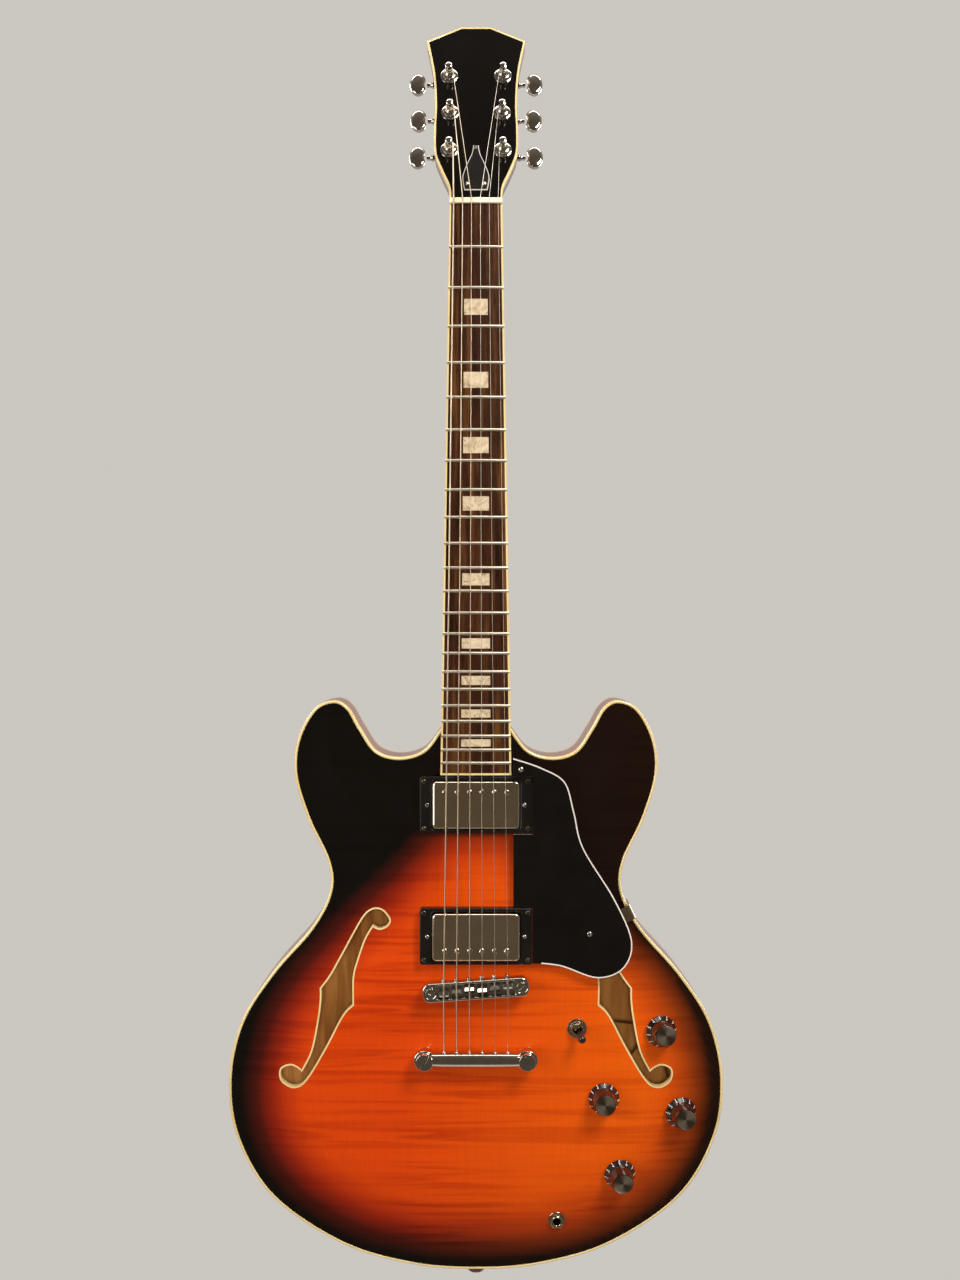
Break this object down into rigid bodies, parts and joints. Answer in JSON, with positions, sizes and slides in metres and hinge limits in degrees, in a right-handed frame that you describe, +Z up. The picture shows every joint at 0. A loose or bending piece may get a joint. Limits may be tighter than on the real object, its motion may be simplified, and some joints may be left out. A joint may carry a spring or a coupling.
{
  "type": "electric guitar",
  "caption": "Thinline semi-hollow electric guitar with two rounded horns, f-holes, two humbucking pickups, fixed bridge and stop tailpiece.",
  "frame": {"origin": "on the centre line at the nut's front edge, in the plane where the fingerboard is glued to the neck", "axes": "+X towards the treble side, +Y towards the back, +Z up along the body towards the headstock"},
  "size_m": [0.402, 0.1085, 1.0424],
  "materials": {
    "top_finish": "gloss orange to black sunburst lacquer over flamed maple",
    "back_finish": "gloss red-brown lacquer over flamed maple",
    "bare_wood": "unfinished",
    "cream_binding": "gloss",
    "neck_finish": "gloss red-brown lacquer over mahogany",
    "black_gloss": "gloss black",
    "rosewood": "oiled satin",
    "fret_metal": "polished nickel silver",
    "pearl": "pearl",
    "bone": "satin",
    "rod_steel": "plain",
    "chrome": "polished",
    "nickel": "nickel plate",
    "black_plastic": "satin black",
    "string_steel": "wound and plain steel"
  },
  "bodies": {
    "guitar": {"top_plate": "top_finish", "back_plate": "back_finish", "rim": "back_finish", "centre_block": "bare_wood", "bindings": "cream_binding", "linings": "bare_wood", "neck": "neck_finish", "headstock_veneer": "black_gloss", "fingerboard": "rosewood", "neck_binding": "cream_binding", "frets": "fret_metal", "inlays": "pearl", "nut": "bone", "truss_rod": "rod_steel", "truss_rod_cover": "black_gloss", "pickguard": "black_gloss", "pickguard_bracket": "chrome", "pickup_rings": "black_plastic", "pickup_covers": "chrome", "pickup_coils": "black_plastic", "pole_screws": "nickel", "bridge_body": "chrome", "bridge_posts": "chrome", "intonation_screws": "chrome", "tailpiece": "chrome", "tailpiece_studs": "chrome", "strings": "string_steel", "tuner_housings": "chrome", "tuner_bushings": "chrome", "potentiometers": "nickel", "switch_body": "nickel", "output_jack": "nickel", "panel_nuts": "chrome", "strap_buttons": "chrome", "trim_screws": "chrome", "wiring": "black_plastic"},
    "key_1": {"tuner_1_key": "chrome"},
    "post_1": {"tuner_1_post": "chrome"},
    "key_2": {"tuner_2_key": "chrome"},
    "post_2": {"tuner_2_post": "chrome"},
    "key_3": {"tuner_3_key": "chrome"},
    "post_3": {"tuner_3_post": "chrome"},
    "key_4": {"tuner_4_key": "chrome"},
    "post_4": {"tuner_4_post": "chrome"},
    "key_5": {"tuner_5_key": "chrome"},
    "post_5": {"tuner_5_post": "chrome"},
    "key_6": {"tuner_6_key": "chrome"},
    "post_6": {"tuner_6_post": "chrome"},
    "saddle_1": {"saddle_1": "chrome"},
    "saddle_2": {"saddle_2": "chrome"},
    "saddle_3": {"saddle_3": "chrome"},
    "saddle_4": {"saddle_4": "chrome"},
    "saddle_5": {"saddle_5": "chrome"},
    "saddle_6": {"saddle_6": "chrome"},
    "neck_volume": {"neck_volume_knob": "black_plastic"},
    "neck_tone": {"neck_tone_knob": "black_plastic"},
    "bridge_volume": {"bridge_volume_knob": "black_plastic"},
    "bridge_tone": {"bridge_tone_knob": "black_plastic"},
    "switch": {"switch_lever": "chrome", "switch_tip": "black_plastic"}
  },
  "joints": [
    {"name": "tuner_1_key_turn", "type": "hinge", "parent": "guitar", "child": "key_1", "pos_m": [-0.022, 0.03275, 0.05004], "axis": [1, 0, 0], "continuous": true},
    {"name": "tuner_1_post_turn", "type": "hinge", "parent": "guitar", "child": "post_1", "pos_m": [-0.022, 0.03083, 0.04375], "axis": [0, -0.9563, 0.2924], "continuous": true},
    {"name": "tuner_2_key_turn", "type": "hinge", "parent": "guitar", "child": "key_2", "pos_m": [-0.0215, 0.04328, 0.08446], "axis": [1, 0, 0], "continuous": true},
    {"name": "tuner_2_post_turn", "type": "hinge", "parent": "guitar", "child": "post_2", "pos_m": [-0.0215, 0.04135, 0.07818], "axis": [0, -0.9563, 0.2924], "continuous": true},
    {"name": "tuner_3_key_turn", "type": "hinge", "parent": "guitar", "child": "key_3", "pos_m": [-0.0225, 0.0538, 0.11889], "axis": [1, 0, 0], "continuous": true},
    {"name": "tuner_3_post_turn", "type": "hinge", "parent": "guitar", "child": "post_3", "pos_m": [-0.0225, 0.05188, 0.1126], "axis": [0, -0.9563, 0.2924], "continuous": true},
    {"name": "tuner_4_key_turn", "type": "hinge", "parent": "guitar", "child": "key_4", "pos_m": [0.0225, 0.0538, 0.11889], "axis": [1, 0, 0], "continuous": true},
    {"name": "tuner_4_post_turn", "type": "hinge", "parent": "guitar", "child": "post_4", "pos_m": [0.0225, 0.05188, 0.1126], "axis": [0, -0.9563, 0.2924], "continuous": true},
    {"name": "tuner_5_key_turn", "type": "hinge", "parent": "guitar", "child": "key_5", "pos_m": [0.0215, 0.04328, 0.08446], "axis": [1, 0, 0], "continuous": true},
    {"name": "tuner_5_post_turn", "type": "hinge", "parent": "guitar", "child": "post_5", "pos_m": [0.0215, 0.04135, 0.07818], "axis": [0, -0.9563, 0.2924], "continuous": true},
    {"name": "tuner_6_key_turn", "type": "hinge", "parent": "guitar", "child": "key_6", "pos_m": [0.022, 0.03275, 0.05004], "axis": [1, 0, 0], "continuous": true},
    {"name": "tuner_6_post_turn", "type": "hinge", "parent": "guitar", "child": "post_6", "pos_m": [0.022, 0.03083, 0.04375], "axis": [0, -0.9563, 0.2924], "continuous": true},
    {"name": "saddle_1_slide", "type": "slide", "parent": "guitar", "child": "saddle_1", "axis": [-0.0698, 0, 0.9976], "range_m": [-0.0012, 0.0048]},
    {"name": "saddle_2_slide", "type": "slide", "parent": "guitar", "child": "saddle_2", "axis": [-0.0698, 0, 0.9976], "range_m": [-0.0024, 0.0036]},
    {"name": "saddle_3_slide", "type": "slide", "parent": "guitar", "child": "saddle_3", "axis": [-0.0698, 0, 0.9976], "range_m": [-0.0036, 0.0024]},
    {"name": "saddle_4_slide", "type": "slide", "parent": "guitar", "child": "saddle_4", "axis": [-0.0698, 0, 0.9976], "range_m": [-0.002, 0.004]},
    {"name": "saddle_5_slide", "type": "slide", "parent": "guitar", "child": "saddle_5", "axis": [-0.0698, 0, 0.9976], "range_m": [-0.0033, 0.0027]},
    {"name": "saddle_6_slide", "type": "slide", "parent": "guitar", "child": "saddle_6", "axis": [-0.0698, 0, 0.9976], "range_m": [-0.0044, 0.0016]},
    {"name": "neck_volume_knob_turn", "type": "hinge", "parent": "guitar", "child": "neck_volume", "pos_m": [0.149, -0.02335, -0.669], "axis": [-0.1317, 0.9878, -0.0828], "range_deg": [0, 300]},
    {"name": "neck_tone_knob_turn", "type": "hinge", "parent": "guitar", "child": "neck_tone", "pos_m": [0.165, -0.02251, -0.735], "axis": [-0.1555, 0.9876, 0.0215], "range_deg": [0, 300]},
    {"name": "bridge_volume_knob_turn", "type": "hinge", "parent": "guitar", "child": "bridge_volume", "pos_m": [0.103, -0.027, -0.722], "axis": [0, 1, 0], "range_deg": [0, 300]},
    {"name": "bridge_tone_knob_turn", "type": "hinge", "parent": "guitar", "child": "bridge_tone", "pos_m": [0.116, -0.02489, -0.784], "axis": [-0.0784, 0.9899, 0.1177], "range_deg": [0, 300]},
    {"name": "pickup_switch_throw", "type": "hinge", "parent": "guitar", "child": "switch", "pos_m": [0.0815, -0.026, -0.666], "axis": [-0.788, 0, -0.6157], "range_deg": [0, 28]}
  ],
  "couplings": [
    {"joint": "tuner_1_post_turn", "follows": "tuner_1_key_turn", "ratio": -0.066667},
    {"joint": "tuner_2_post_turn", "follows": "tuner_2_key_turn", "ratio": -0.066667},
    {"joint": "tuner_3_post_turn", "follows": "tuner_3_key_turn", "ratio": -0.066667},
    {"joint": "tuner_4_post_turn", "follows": "tuner_4_key_turn", "ratio": 0.066667},
    {"joint": "tuner_5_post_turn", "follows": "tuner_5_key_turn", "ratio": 0.066667},
    {"joint": "tuner_6_post_turn", "follows": "tuner_6_key_turn", "ratio": 0.066667}
  ]
}
